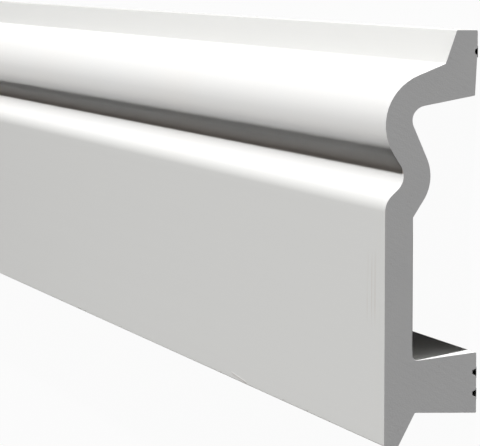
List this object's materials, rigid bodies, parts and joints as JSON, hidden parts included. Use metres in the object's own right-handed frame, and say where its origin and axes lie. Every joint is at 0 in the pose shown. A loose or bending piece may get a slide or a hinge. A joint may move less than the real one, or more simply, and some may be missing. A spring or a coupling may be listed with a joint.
{
  "type": "skirting board",
  "caption": "Extruded white ogee skirting board with a rear foot, a cable channel behind the flat face and key grooves for adhesive.",
  "frame": {"origin": "centre of the board's footprint as it lies on its back, in the plane of the wall", "axes": "+X along the board, +Y towards its top edge as fitted, +Z out of the wall through the show face"},
  "size_m": [2, 0.139, 0.031],
  "materials": {
    "white_foamed_polymer": "satin"
  },
  "bodies": {
    "root": {"skirting_board": "white_foamed_polymer"}
  },
  "joints": []
}
